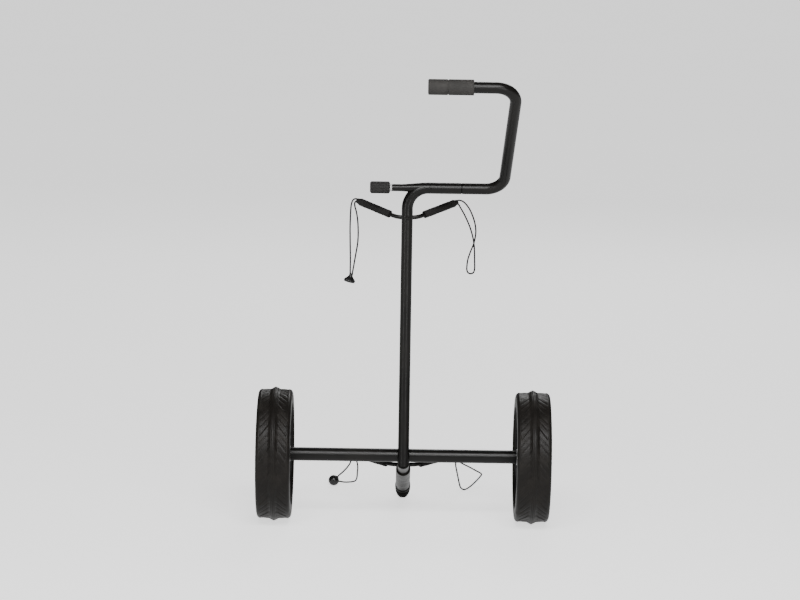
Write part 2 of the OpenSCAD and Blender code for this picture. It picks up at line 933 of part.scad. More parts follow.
module hub_cap(side) {
    at_wheel(side) translate([hub_out, 0, 0]) along_x()
    difference() {
        cylinder(r1 = hub_cap_r, r2 = hub_cap_r - 2, h = hub_cap_t);
        translate([0, 0, -over]) cylinder(r = hub_cap_bore_r, h = hub_cap_t + 2 * over);
    }
}

module left_tyre() {
    color([0.07, 0.07, 0.07]) tyre(-1);
}

module right_tyre() {
    color([0.07, 0.07, 0.07]) tyre(1);
}

module left_rim() {
    color([0.2, 0.2, 0.2]) rim(-1);
}

module right_rim() {
    color([0.2, 0.2, 0.2]) rim(1);
}

module left_bearings() {
    color("silver") bearings(-1);
}

module right_bearings() {
    color("silver") bearings(1);
}

module left_hub_cap() {
    color([0.15, 0.15, 0.15]) hub_cap(-1);
}

module right_hub_cap() {
    color([0.15, 0.15, 0.15]) hub_cap(1);
}

main_tube();
knob_tube();
axle_tube();
foot_tube();
foot_cap();
upper_rod();
lower_rod();
upper_left_sleeve();
upper_right_sleeve();
lower_left_sleeve();
lower_right_sleeve();
upper_left_plug();
upper_right_plug();
lower_left_plug();
lower_right_plug();
cradle_screw();
cradle_nut();
knob_washer();
seam_ring();
foot_collar();
axle_plugs();
left_axle_pin();
right_axle_pin();
hub_flanges();
detent_balls();
left_release_pin();
right_release_pin();
left_release_spring();
right_release_spring();
upper_left_cord_outer();
upper_left_cord_inner();
upper_right_cord();
lower_left_cord_outer();
lower_left_cord_inner();
lower_right_cord();
cord_hook();
cord_ball();
handle_tube();
handle_spigot();
grip();
grip_plug();
clamp_knob();
tie_rod();
left_tyre();
left_rim();
left_bearings();
left_hub_cap();
right_tyre();
right_rim();
right_bearings();
right_hub_cap();
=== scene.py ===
import math
import bpy
import numpy as np
from mathutils import Matrix, Vector


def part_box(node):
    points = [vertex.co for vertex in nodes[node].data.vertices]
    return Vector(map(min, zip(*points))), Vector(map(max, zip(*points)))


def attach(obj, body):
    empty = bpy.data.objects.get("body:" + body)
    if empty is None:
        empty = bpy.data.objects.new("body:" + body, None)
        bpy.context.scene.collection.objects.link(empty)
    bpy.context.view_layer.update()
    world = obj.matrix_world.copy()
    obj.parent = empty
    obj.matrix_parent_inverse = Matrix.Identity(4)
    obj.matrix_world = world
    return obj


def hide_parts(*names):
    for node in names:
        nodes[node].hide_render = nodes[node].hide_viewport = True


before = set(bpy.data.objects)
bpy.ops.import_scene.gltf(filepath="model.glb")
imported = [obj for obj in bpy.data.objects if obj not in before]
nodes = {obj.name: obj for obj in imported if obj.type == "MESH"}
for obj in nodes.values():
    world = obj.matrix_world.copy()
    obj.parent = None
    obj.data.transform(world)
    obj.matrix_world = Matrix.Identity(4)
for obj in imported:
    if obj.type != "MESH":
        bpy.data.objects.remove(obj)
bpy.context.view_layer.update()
tau = 2 * math.pi


def centreOf(node):
    low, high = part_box(node)
    return (low + high) / 2


axleY = centreOf("axle_tube").y
axleZ = centreOf("axle_tube").z

viewpoint = {
    "x": -0.013,            # sideways, from the cart's middle plane
    "distance": 6.0,        # in front of the axle line
    "height": 1.4,
    "pitch": 81.491,        # degrees from straight down
    "roll": 0.88,           # degrees, the view leans a little to the right
    "lens": 122.727,        # millimetres on a 36 mm wide sensor
}


def makeCamera(view):
    data = bpy.data.cameras.new("camera")
    data.lens = view["lens"]
    data.sensor_width = 36
    camera = bpy.data.objects.new("camera", data)
    bpy.context.scene.collection.objects.link(camera)
    pitch, roll = math.radians(view["pitch"]), math.radians(view["roll"])
    turned = Matrix.Rotation(pitch, 4, "X") @ Matrix.Rotation(roll, 4, "Z")
    place = Matrix.Translation((view["x"], axleY - view["distance"], view["height"]))
    camera.matrix_world = place @ turned
    data.clip_start, data.clip_end = 0.05, 60
    bpy.context.scene.camera = camera


makeCamera(viewpoint)


def unit(v):
    return v / np.linalg.norm(v, axis=-1, keepdims=True)


def smoothStep(x):
    x = np.clip(x, 0, 1)
    return x * x * (3 - 2 * x)


# a mesh over a grid of points [rows, columns, 3]; rows and columns may close on themselves
# run is each row's V
def gridObject(name, points, closeRows=False, closeColumns=True, caps=True, flip=False, run=None):
    rows, columns = points.shape[:2]
    lastRow = rows if closeRows else rows - 1
    lastColumn = columns if closeColumns else columns - 1
    i, j = np.meshgrid(np.arange(lastRow), np.arange(lastColumn), indexing="ij")
    ni, nj = (i + 1) % rows, (j + 1) % columns
    corners = [i * columns + j, i * columns + nj, ni * columns + nj, ni * columns + j]
    quads = np.stack(corners, -1).reshape(-1, 4)
    if flip:
        quads = quads[:, ::-1]
    vertices = points.reshape(-1, 3)
    faces = quads.tolist()
    if caps and not closeRows:
        first = list(range(columns))
        last = list(range((rows - 1) * columns, rows * columns))
        faces.append(first if flip else first[::-1])
        faces.append(last[::-1] if flip else last)
    mesh = bpy.data.meshes.new(name)
    mesh.from_pydata(vertices.tolist(), [], faces)
    uv = mesh.uv_layers.new(name="along")
    corner = np.zeros(len(mesh.loops), np.int32)
    mesh.loops.foreach_get("vertex_index", corner)
    row, column = corner // columns, corner % columns
    distance = np.arange(rows) / rows if run is None else np.asarray(run)
    uv.data.foreach_set("uv", np.stack([column / columns, distance[row]], 1).astype(np.float32).ravel())
    mesh.polygons.foreach_set("use_smooth", np.ones(len(mesh.polygons), bool))
    mesh.update()
    made = bpy.data.objects.new(name, mesh)
    bpy.context.scene.collection.objects.link(made)
    return made


# frames carried along a path without twist: the path's tangents and two sideways directions
def carriedFrames(path):
    tangents = unit(np.gradient(path, axis=0))
    up = np.array([0, 0, 1.0]) if abs(tangents[0, 2]) < 0.8 else np.array([0, 1.0, 0])
    side = unit(np.cross(tangents[0], up))
    sides = []
    for t in tangents:
        side = unit(side - t * (side @ t))
        sides.append(side)
    sides = np.array(sides)
    return tangents, sides, np.cross(tangents, sides)


# a tube round a path: p(i, a) = path(i) + r(i, a) (cos a * side + sin a * other)
def tubeObject(name, path, radius, around=16):
    _, side, other = carriedFrames(path)
    a = np.linspace(0, tau, around, endpoint=False)
    r = np.broadcast_to(np.asarray(radius, float).reshape(-1, 1), (len(path), 1))
    ring = side[:, None] * np.cos(a)[None, :, None] + other[:, None] * np.sin(a)[None, :, None]
    steps = np.linalg.norm(np.diff(path, axis=0), axis=1)
    return gridObject(name, path[:, None] + r[:, :, None] * ring, run=np.concatenate([[0], np.cumsum(steps)]))


# a smooth line through chosen points, by the centripetal Catmull-Rom rule, evenly spaced
def smoothLine(points, step):
    p = np.asarray(points, float)
    p = np.vstack([2 * p[0] - p[1], p, 2 * p[-1] - p[-2]])
    out = []
    for i in range(1, len(p) - 2):
        a, b, c, d = p[i - 1], p[i], p[i + 1], p[i + 2]
        t0 = 0.0
        t1 = t0 + math.sqrt(np.linalg.norm(b - a))
        t2 = t1 + math.sqrt(np.linalg.norm(c - b))
        t3 = t2 + math.sqrt(np.linalg.norm(d - c))
        t = np.linspace(t1, t2, 12, endpoint=False)[:, None]
        ab = (t1 - t) / (t1 - t0) * a + (t - t0) / (t1 - t0) * b
        bc = (t2 - t) / (t2 - t1) * b + (t - t1) / (t2 - t1) * c
        cd = (t3 - t) / (t3 - t2) * c + (t - t2) / (t3 - t2) * d
        abc = (t2 - t) / (t2 - t0) * ab + (t - t0) / (t2 - t0) * bc
        bcd = (t3 - t) / (t3 - t1) * bc + (t - t1) / (t3 - t1) * cd
        out.append((t2 - t) / (t2 - t1) * abc + (t - t1) / (t2 - t1) * bcd)
    line = np.vstack(out + [p[-2:-1]])
    along = np.concatenate([[0], np.cumsum(np.linalg.norm(np.diff(line, axis=0), axis=1))])
    at = np.linspace(0, along[-1], max(4, int(along[-1] / step)))
    return np.stack([np.interp(at, along, line[:, k]) for k in range(3)], 1), along[-1]


# a profile of (along, radius) pairs turned round an axis through origin
def turnedObject(name, profile, origin, axis, around=64):
    profile = np.asarray(profile, float)
    axis = unit(np.asarray(axis, float))
    helper = np.array([0, 0, 1.0]) if abs(axis[2]) < 0.8 else np.array([0, 1.0, 0])
    side = unit(np.cross(axis, helper))
    other = np.cross(axis, side)
    a = np.linspace(0, tau, around, endpoint=False)
    ring = side * np.cos(a)[:, None] + other * np.sin(a)[:, None]
    along, radius = profile[:, 0, None, None], profile[:, 1, None, None]
    return gridObject(name, np.asarray(origin, float) + along * axis + radius * ring[None])


# a quarter round between two profile points, bulging outwards
def roundedEdge(start, end, count=6):
    a = np.linspace(0, math.pi / 2, count)
    (s0, r0), (s1, r1) = start, end
    if r1 > r0:
        return [(s0 + (s1 - s0) * (1 - math.cos(x)), r0 + (r1 - r0) * math.sin(x)) for x in a]
    return [(s0 + (s1 - s0) * math.sin(x), r0 + (r1 - r0) * (1 - math.cos(x))) for x in a]


class Wire:  # one output socket; arithmetic on it adds nodes
    def __init__(self, tree, socket):
        self.tree = tree
        self.socket = socket

    # any other node: its type, its settings, then its values and links
    def node(self, kind, settings=None, inputs=None, output=0):
        made = self.tree.nodes.new(kind)
        for name, value in (settings or {}).items():
            setattr(made, name, value)
        for key, value in (inputs or {}).items():
            if isinstance(value, Wire):
                self.tree.links.new(value.socket, made.inputs[key])
            else:
                made.inputs[key].default_value = value
        return Wire(self.tree, made.outputs[output])

    def math(self, operation, *values):
        return self.node("ShaderNodeMath", {"operation": operation}, dict(enumerate(values)))

    def __add__(self, other):
        return self.math("ADD", self, other)

    def __radd__(self, other):
        return self.math("ADD", other, self)

    def __sub__(self, other):
        return self.math("SUBTRACT", self, other)

    def __rsub__(self, other):
        return self.math("SUBTRACT", other, self)

    def __mul__(self, other):
        return self.math("MULTIPLY", self, other)

    def __rmul__(self, other):
        return self.math("MULTIPLY", other, self)

    def sine(self):
        return self.math("SINE", self)

    # from low to high becomes 0 to 1, held at the ends
    def ramp(self, low, high):
        inputs = {0: self, 1: low, 2: high, 3: 0.0, 4: 1.0}
        return self.node("ShaderNodeMapRange", {"interpolation_type": "SMOOTHSTEP"}, inputs)

    def part(self, axis):
        return self.node("ShaderNodeSeparateXYZ", None, {0: self}, "XYZ".index(axis))

    def noise(self, scale, detail=3.0, rough=0.55):
        inputs = {"Vector": self, "Scale": scale, "Detail": detail, "Roughness": rough}
        return self.node("ShaderNodeTexNoise", None, inputs)

    def cells(self, scale):
        return self.node("ShaderNodeTexVoronoi", None, {"Vector": self, "Scale": scale})

    # between two colours
    def blend(self, low, high):
        return self.node("ShaderNodeMix", {"data_type": "RGBA"}, {0: self, 6: low, 7: high}, 2)

    # a bump from this height, of a depth in metres, over another normal
    def bump(self, depth, under=None):
        inputs = {"Height": self, "Distance": depth, "Strength": 1.0}
        if under:
            inputs["Normal"] = under
        return self.node("ShaderNodeBump", None, inputs)


def grey(value, warm=0.0):
    return (value * (1 + warm), value, value * (1 - warm), 1)


# a material whose varying inputs come from a function of the object's coordinates; the rest are fixed values
def material(name, vary, **fixed):
    made = bpy.data.materials.new(name)
    made.use_nodes = True
    tree = made.node_tree
    shader = tree.nodes["Principled BSDF"]
    for key, value in fixed.items():
        shader.inputs[key.replace("_", " ")].default_value = value
    coordinates = tree.nodes.new("ShaderNodeTexCoord")
    place = Wire(tree, coordinates.outputs["Object"])
    along = Wire(tree, coordinates.outputs["UV"])
    for key, wire in vary(place, along).items():
        tree.links.new(wire.socket, shader.inputs[key.replace("_", " ")])
    return made


# powder-coated tube: faint orange peel, dust and handling marks
def tubeLook(place, along):
    peel = place.noise(1400, 2.0)
    smear = place.noise(9, 4.0, 0.6).ramp(0.35, 0.7)
    specks = place.cells(620).ramp(0.06, 0.02) * place.noise(40, 2.0).ramp(0.5, 0.7)
    return {
        "Base_Color": smear.blend(grey(0.005, 0.08), grey(0.009, 0.12)),
        "Roughness": 0.30 + smear * 0.09 + specks * 0.2,
        "Normal": peel.bump(0.00003),
    }


# foam rubber skin: fine open cells
def foamLook(place, along):
    pores = place.cells(1500)
    lumps = place.noise(260, 3.0)
    return {
        "Base_Color": pores.ramp(0.1, 0.5).blend(grey(0.008), grey(0.018, 0.04)),
        "Roughness": 0.82 + lumps * 0.14,
        "Normal": (pores * 0.6 + lumps).bump(0.00025),
    }


# the grip's rubber: even fine grain, paler where it is rubbed
def gripLook(place, along):
    grain = place.cells(1900)
    wear = place.noise(28, 3.0).ramp(0.3, 0.75)
    return {
        "Base_Color": (grain.ramp(0.0, 0.6) * 0.5 + wear * 0.5).blend(grey(0.020, 0.05), grey(0.048, 0.06)),
        "Roughness": 0.62 + grain * 0.2,
        "Normal": grain.bump(0.00016),
    }


# tyre rubber: mould dust and fine scuffs
def tyreLook(place, along):
    dust = place.noise(34, 5.0, 0.65).ramp(0.42, 0.72)
    fine = place.noise(900, 2.0)
    return {
        "Base_Color": dust.blend(grey(0.011, 0.12), grey(0.016, 0.14)),
        "Roughness": 0.36 + dust * 0.18 + fine * 0.06,
        "Normal": fine.bump(0.00005),
    }


# moulded plastic with a fine spark-eroded grain
def plasticLook(place, along):
    grain = place.noise(1500, 2.0)
    tone = place.noise(20, 3.0)
    return {
        "Base_Color": tone.blend(grey(0.009), grey(0.018, 0.04)),
        "Roughness": 0.42 + tone * 0.12,
        "Normal": grain.bump(0.00004),
    }


# the knob's harder matte plastic
def knobLook(place, along):
    grain = place.noise(2200, 2.0)
    tone = place.noise(60, 3.0)
    return {
        "Base_Color": tone.blend(grey(0.014, 0.03), grey(0.024, 0.05)),
        "Roughness": 0.55 + tone * 0.14,
        "Normal": grain.bump(0.00005),
    }


# glossy moulded plastic of the ball and the hook
def glossLook(place, along):
    swirl = place.noise(70, 3.0)
    return {
        "Base_Color": swirl.blend(grey(0.006), grey(0.014)),
        "Roughness": 0.20 + swirl * 0.14,
        "Normal": place.noise(500, 2.0).bump(0.00003),
    }


# braided cord: two families of strands that cross; V is in metres along the cord
def cordLook(place, along):
    turn = along.part("X") * tau * 4
    run = along.part("Y") * 2600
    left, right = (turn + run).sine(), (turn - run).sine()
    strands = left.math("MAXIMUM", left, right)
    fuzz = place.noise(2400, 2.0)
    return {
        "Base_Color": strands.ramp(-0.6, 0.9).blend(grey(0.003), grey(0.010, 0.04)),
        "Roughness": 0.75 + fuzz * 0.15,
        "Normal": (strands * 0.5 + fuzz * 0.3).bump(0.00018),
    }


# turned aluminium and steel: fine lines round the axis, and a few dull patches
def metalLook(place, along):
    lines = (place.part("X") * 5200.0).sine()
    dull = place.noise(55, 3.0).ramp(0.4, 0.8)
    return {
        "Base_Color": dull.blend(grey(0.62), grey(0.48, 0.02)),
        "Roughness": 0.38 + dull * 0.16 + lines * 0.03,
        "Normal": lines.bump(0.000004),
    }


# bead-blasted aluminium, pale from every side
def brightLook(place, along):
    grain = place.noise(1800, 2.0)
    tone = place.noise(120, 3.0)
    return {
        "Base_Color": tone.blend(grey(0.55), grey(0.75)),
        "Roughness": 0.42 + grain * 0.15,
        "Normal": grain.bump(0.00003),
    }


# the foot's satin paint, hardly shiny until it is seen along its length
def footLook(place, along):
    smear = place.noise(30, 4.0, 0.6).ramp(0.35, 0.7)
    return {
        "Base_Color": smear.blend(grey(0.010, 0.08), grey(0.020, 0.12)),
        "Roughness": 0.24 + smear * 0.10,
        "Normal": place.noise(1400, 2.0).bump(0.00003),
    }


# the foot cap's black rubber, dusty near the ground
def capLook(place, along):
    dust = place.noise(90, 4.0, 0.6).ramp(0.45, 0.8)
    return {
        "Base_Color": dust.blend(grey(0.004), grey(0.010, 0.1)),
        "Roughness": 0.50 + dust * 0.25,
        "Normal": place.noise(1100, 2.0).bump(0.00005),
    }


looks = {
    "foot": material("foot_paint", footLook, Specular_IOR_Level=0.06),
    "cap": material("cap_rubber", capLook, Specular_IOR_Level=0.06),
    "tube": material("tube_paint", tubeLook, Specular_IOR_Level=0.28, Coat_Weight=0.04, Coat_Roughness=0.28),
    "foam": material("foam_sleeve", foamLook, Specular_IOR_Level=0.2),
    "grip": material("grip_rubber", gripLook, Specular_IOR_Level=0.3),
    "tyre": material("tyre_rubber", tyreLook, Specular_IOR_Level=0.18),
    "plastic": material("moulded_plastic", plasticLook, Specular_IOR_Level=0.25),
    "knob": material("knob_plastic", knobLook, Specular_IOR_Level=0.3),
    "gloss": material("gloss_plastic", glossLook, Specular_IOR_Level=0.5),
    "cord": material("braided_cord", cordLook, Specular_IOR_Level=0.3),
    "metal": material("turned_metal", metalLook, Metallic=1.0),
    "bright": material("bright_metal", brightLook, Specular_IOR_Level=0.8),
}


def dress(obj, look):
    obj.data.materials.clear()
    obj.data.materials.append(looks[look])


print("materials made")

cordThickness = 0.0036
cordRoutes = {  # millimetres from the axle line on the ground
    "upper_left_cord_outer": [
        [-110, 92, 715], [-116, 96.5, 716.5], [-122, 101, 713], [-125.5, 103.5, 704], [-127, 104, 690],
        [-128, 104, 655], [-127.5, 104, 620], [-126.5, 104, 580], [-126.5, 104, 541]
    ],
    "upper_left_cord_inner": [
        [-110, 92, 711], [-114.5, 95.5, 711.5], [-118, 98.5, 707], [-117.5, 101, 698], [-114, 103, 685],
        [-110.5, 104, 660], [-110, 104, 621], [-116, 104, 580], [-122.5, 104, 541]
    ],
    "upper_right_cord": [
        [110, 92, 715], [116, 96.5, 716.5], [126, 101, 713], [138, 103, 700], [148, 104, 680],
        [154, 104, 660], [155.5, 104.5, 642], [151.5, 106, 618], [144, 106, 598], [138.5, 105, 580],
        [137, 104, 567], [137, 103.5, 558], [139.5, 103, 552], [145.5, 103, 549.5], [151.5, 103, 552],
        [154, 103, 558], [154, 102.5, 580], [151.5, 101.5, 620], [144, 101, 650], [131, 101, 680],
        [119, 99, 701], [114, 96, 709], [110, 92, 711]
    ],
    "lower_left_cord_outer": [
        [-122, 144, 126.5], [-127, 150, 126.5], [-130, 160, 123], [-128, 185, 110], [-122, 230, 87],
        [-128, 265, 68], [-140, 300, 47], [-152, 330, 30], [-159, 347, 18]
    ],
    "lower_left_cord_inner": [
        [-122, 144, 122.5], [-126, 149.5, 121.5], [-126, 160, 117], [-118, 190, 104.5], [-108.5, 230, 87],
        [-106, 260, 68], [-107, 290, 49], [-110.5, 350, 17], [-116, 370, 8], [-126, 381, 4],
        [-138, 381, 3.5], [-147, 374, 6], [-154, 366, 9]
    ],
    "lower_right_cord": [
        [122, 144, 122.5], [126.5, 150, 121.5], [128, 162, 116], [125, 195, 102], [122.5, 230, 84],
        [128, 275, 50], [133.5, 303, 22], [137.5, 318, 8], [145.5, 325, 2], [155, 329, 5],
        [164, 330.5, 12], [174, 330, 22], [182, 327, 32], [186, 320, 39.5], [184, 310, 45],
        [172, 288, 56], [152, 258, 72.5], [133, 230, 88], [127, 190, 107], [129, 165, 119],
        [127, 151, 126], [122, 144, 126.5]
    ],
}


# the tube's radius swells a little at each strand crossing: r = R (0.98 + 0.02 cos(2 pi s / pitch))
def makeCord(node, points):
    line, length = smoothLine(np.array(points) / 1000 + np.array([0, axleY, 0]), 0.0011)
    s = np.linspace(0, length, len(line))
    radius = cordThickness / 2 * (0.98 + 0.02 * np.cos(tau * s / 0.0033))
    made = tubeObject(node + "_braid", line, radius, 14)
    dress(made, "cord")
    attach(made, "frame")
    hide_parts(node)
    return made, line, length


ballShape = {
    "lipHeight": 0.0004,
    "lipWidth": 0.03,       # radians
    "dimpleDepth": 0.0006,
    "dimpleWidth": 0.16,    # radians
    "axis": (0.35, -0.2, 0.9),
}


# two moulded halves: r(t) = R + lip exp(-((t - pi/2) / width)^2) - dimple exp(-(t / width)^2)
def makeBall(shape):
    low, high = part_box("cord_ball")
    centre, r = (low + high) / 2, (high.x - low.x) / 2
    theta = np.linspace(0.0, math.pi, 97)
    lip = shape["lipHeight"] * np.exp(-((theta - math.pi / 2) / shape["lipWidth"]) ** 2)
    dimple = shape["dimpleDepth"] * np.exp(-(theta / shape["dimpleWidth"]) ** 2)
    radius = r - shape["lipHeight"] + lip - dimple
    profile = np.stack([-radius * np.cos(theta), np.maximum(radius * np.sin(theta), 0.00002)], 1)
    made = turnedObject("cord_ball_moulded", profile, centre, shape["axis"], 96)
    dress(made, "gloss")
    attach(made, "frame")
    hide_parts("cord_ball")
    return made


hookShape = {
    "tip": (-0.1245, 0.104, 0.543),  # where the cords enter, from the axle line
    "lean": 14.0,           # degrees
    "length": 0.020,
    "collarRadius": 0.0044,
    "flare": 0.0088,        # how much wider the rim is than the collar
    "ribs": 12,
    "ribDepth": 0.05,       # as a share of the radius
}


# a collar, then a fan that opens along an S to a ribbed rim, hollow at its end
def makeHook(shape):
    lean = math.radians(shape["lean"])
    axis = np.array([-math.sin(lean), 0, -math.cos(lean)])
    tip = np.array(shape["tip"]) + np.array([0, axleY, 0])
    along = np.linspace(0, 1, 40) * shape["length"]
    flare = shape["collarRadius"] + shape["flare"] * smoothStep((along - 0.0045) / 0.013)
    flare[along > 0.0175] -= 0.0008
    inset = np.concatenate([[[-0.003, 0.0015]], np.stack([along * 0.99 - 0.003, flare], 1)])
    profile = np.vstack([inset, [[0.0170, 0.0112], [0.0160, 0.0080], [0.0156, 0.0030]]])
    a = np.linspace(0, tau, 120, endpoint=False)
    side = unit(np.cross(axis, np.array([0, 1.0, 0])))
    other = np.cross(axis, side)
    fade = smoothStep((profile[:, 0] - 0.002) / 0.01)[:, None]
    ribs = 1 - shape["ribDepth"] * fade * (np.cos(shape["ribs"] * a)[None] > 0.55)
    radius = profile[:, 1, None] * ribs
    ring = side * np.cos(a)[:, None] + other * np.sin(a)[:, None]
    points = tip + profile[:, 0, None, None] * axis + radius[:, :, None] * ring[None]
    made = gridObject("cord_hook_moulded", points)
    dress(made, "gloss")
    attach(made, "frame")
    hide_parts("cord_hook")
    return made


ball = makeBall(ballShape)
hook = makeHook(hookShape)
for node, points in cordRoutes.items():
    made, line, length = makeCord(node, points)
    side = node.split("_cord")[0]
    print("cord", node, "length", round(length, 4))

tread = {
    "chevrons": 16,
    "slope": 58.0,          # degrees from across to round the wheel
    "grooveWidth": 0.0022,
    "grooveDepth": 0.0014,
    "blockTilt": 0.0012,    # each block rises by this towards its leading edge
    "veins": (0.30, 0.60),
    "veinWidth": 0.0017,
    "veinDepth": 0.0010,
    "ribHalf": 0.0028,
    "ribDepth": 0.0008,
    "ribWidth": 0.0008,
    "sweep": (1.12, 5.0),   # the grooves' slope at the middle, and how fast it falls off sideways
    "blockStart": 0.0040,
    "startFade": 0.004,
    "blockEnd": 0.0280,
    "endFade": 0.005,
    "shoulderLine": 0.0325,
    "shoulderWidth": 0.0007,
    "shoulderDepth": 0.0008,
}

carcass = {
    "ridge": 0.005,
    "ridgeTop": 0.0015,     # half the width of the ridge's flat top
    "ridgeFoot": 0.011,
    "thickness": 0.037,     # from the rim's seat to the crown
    "shoulder": 0.009,
    "lipHeight": 0.007,
    "lipWidth": 0.0092,
    "wallHollow": 0.0006,
    "wallLine": 0.0012,     # depth of the moulded line round the sidewall
}


# section of the tyre from the left bead over the tread and back, as (across, radius, share of tread)
def tyreSection(node, shape):
    low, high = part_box(node)
    outer = (high.z - low.z) / 2
    half = (high.x - low.x) / 2
    crown = outer - shape["ridge"]
    seat = crown - shape["thickness"]
    shoulder = shape["shoulder"]
    x = np.linspace(-half + shoulder, half - shoulder, 113)
    ridge = np.interp(np.abs(x), [shape["ridgeTop"], shape["ridgeFoot"]], [shape["ridge"], 0.0])
    top = np.stack([x, crown + ridge, np.ones_like(x)], 1)
    a = np.linspace(0, math.pi / 2, 12)[1:]
    across, up = half - shoulder + shoulder * np.sin(a), crown - shoulder + shoulder * np.cos(a)
    right = np.stack([across, up, 0 * a], 1)
    wall = crown - shoulder - seat - shape["lipHeight"]
    s = np.linspace(0, 1, 16)[1:]
    hollow = shape["wallHollow"] * np.sin(math.pi * s) + shape["wallLine"] * (s > 0.25) * (s < 0.32)
    down = np.stack([half - hollow, crown - shoulder - wall * s, 0 * s], 1)
    lip = np.array([[half - 0.008, seat + 0.0069, 0], [half - shape["lipWidth"], seat, 0]])
    rightHalf = np.vstack([right, down, lip])
    leftHalf = rightHalf[::-1] * np.array([-1, 1, 1])
    bed = np.array([[0.0, seat, 0.0]])
    section = np.vstack([top, rightHalf, bed, leftHalf])
    return section, outer


# how far the tread lies below its crown:
# phase f = N angle / 2 pi + run / pitch, with a saw tooth and a groove in f
def treadDepth(x, angle, radius):
    pitch = tau * radius / tread["chevrons"]
    across = np.abs(x)
    slope = math.radians(tread["slope"])
    middle, fallOff = tread["sweep"]
    run = across * math.tan(slope) * (middle - fallOff * across)
    f = tread["chevrons"] * angle / tau + run / pitch
    share = f - np.floor(f)
    started = smoothStep((across - tread["blockStart"]) / tread["startFade"])
    inside = started * (1 - smoothStep((across - tread["blockEnd"]) / tread["endFade"]))
    fall = smoothStep(share / 0.06) * (1 - share)
    edge = np.minimum(share, 1 - share) * pitch * math.cos(slope)
    groove = 1 - smoothStep((edge - tread["grooveWidth"] * 0.25) / (tread["grooveWidth"] * 0.5))
    spread = 0.07 * across / tread["blockEnd"]
    away = [np.abs(share - at - spread) * pitch * math.cos(slope) for at in tread["veins"]]
    veins = sum(1 - smoothStep(gap / tread["veinWidth"]) for gap in away)
    rib = np.exp(-((across - tread["ribHalf"]) / tread["ribWidth"]) ** 2)
    shoulder = np.exp(-((across - tread["shoulderLine"]) / tread["shoulderWidth"]) ** 2)
    return (inside * (fall * tread["blockTilt"] + groove * tread["grooveDepth"] + veins * tread["veinDepth"])
            + rib * tread["ribDepth"] + shoulder * tread["shoulderDepth"])


# the surface is p(u, a) = centre + x(u) across + (r(u) - depth(x, a)) towards angle a
def makeTyre(node, body):
    section, outer = tyreSection(node, carcass)
    centre = centreOf(node)
    angles = np.linspace(0, tau, tread["chevrons"] * 26, endpoint=False)
    x = section[:, 0][None]
    depth = treadDepth(x, angles[:, None], outer) * section[:, 2][None]
    # the front of the wheel faces -Y, and the grooves fall away from the ridge there
    radius = section[:, 1][None] - depth
    points = np.empty((len(angles), len(section), 3))
    points[:, :, 0] = centre.x + x
    points[:, :, 1] = centre.y - radius * np.cos(angles)[:, None]
    points[:, :, 2] = centre.z + radius * np.sin(angles)[:, None]
    made = gridObject(node + "_tread", points, closeRows=True)
    dress(made, "tyre")
    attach(made, body)
    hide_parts(node)


for side in ("left", "right"):
    makeTyre(side + "_tyre", "wheel_" + side)
print("tyres made")

gripShape = {
    "radius": 0.017,
    "bore": 0.01265,
    "grooveAt": 0.43,       # as a share of the grip's length
    "grooveDepth": 0.0012,
    "grooveWidth": 0.0018,
    "endRadius": 0.0030,
    "capThickness": 0.0045,
}


def makeGrip(shape):
    low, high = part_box("grip")
    centre = (low + high) / 2
    end = high.x - low.x
    r, groove, width = shape["radius"], end * shape["grooveAt"], shape["grooveWidth"]
    floor, edge = r - shape["grooveDepth"], shape["endRadius"]
    profile = [(0.0004, 0.0002), (0.0001, r - 0.0055)] + roundedEdge((0.0, r - edge), (edge, r))
    profile += [(s, r) for s in np.linspace(0.004, groove - 0.001, 60)]
    profile += [(groove - 0.0006, r), (groove, floor), (groove + width, floor), (groove + width + 0.0006, r)]
    profile += [(s, r) for s in np.linspace(groove + 0.003, end - 0.002, 60)]
    profile += roundedEdge((end - 0.0012, r), (end, r - 0.0012), 4)
    profile += [(end, shape["bore"]), (shape["capThickness"], shape["bore"]), (shape["capThickness"], 0.0002)]
    made = turnedObject("grip_rubber", profile, (low.x, centre.y, centre.z), (1, 0, 0), 96)
    dress(made, "grip")
    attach(made, "handle")
    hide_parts("grip")


makeGrip(gripShape)

cradles = {
    "lean": 3.0,            # degrees the upright leans forward
    "slope": 22.8,          # degrees the foot falls away
    "uprightAhead": 0.018,  # how far the upright stands in front of the axle line
    "kneeDrop": 0.014,
    "sleeveStart": 0.038,   # sideways from the middle
    "sleeveRadius": 0.0085,
    "sleeveEdge": 0.0015,
    "rodRadius": 0.00475,
    "waveTurns": (170, 610),  # radians a metre, the slow wave and the quick one
    "waveDepths": (0.000125, 0.00015),
    "upper": {"up": 0.536, "behind": 0.01725, "flat": 0.008, "bend": 0.040,
              "sweep": 39, "rise": 22.8, "arm": 0.1065},
    "lower": {"down": 0.052, "above": 0.007, "flat": 0.014, "bend": 0.030,
              "sweep": 50, "rise": 1.5, "arm": 0.141},
}


# the middle of each cradle rod: the upper one is behind the upright
# the lower one passes through the foot's stub
def rodMiddles(values):
    lean, slope = math.radians(values["lean"]), math.radians(values["slope"])
    upper, lower = values["upper"], values["lower"]
    uprightY = axleY - values["uprightAhead"]
    kneeY = uprightY - values["kneeDrop"] * math.sin(lean)
    kneeZ = axleZ - values["kneeDrop"] * math.cos(lean)
    return {
        "upper": (0, uprightY + upper["up"] * math.sin(lean) + upper["behind"] * math.cos(lean),
                  axleZ + upper["up"] * math.cos(lean) - upper["behind"] * math.sin(lean)),
        "lower": (0, kneeY + lower["down"] * math.cos(slope) + lower["above"] * math.sin(slope),
                  kneeZ - lower["down"] * math.sin(slope) + lower["above"] * math.cos(slope)),
    }


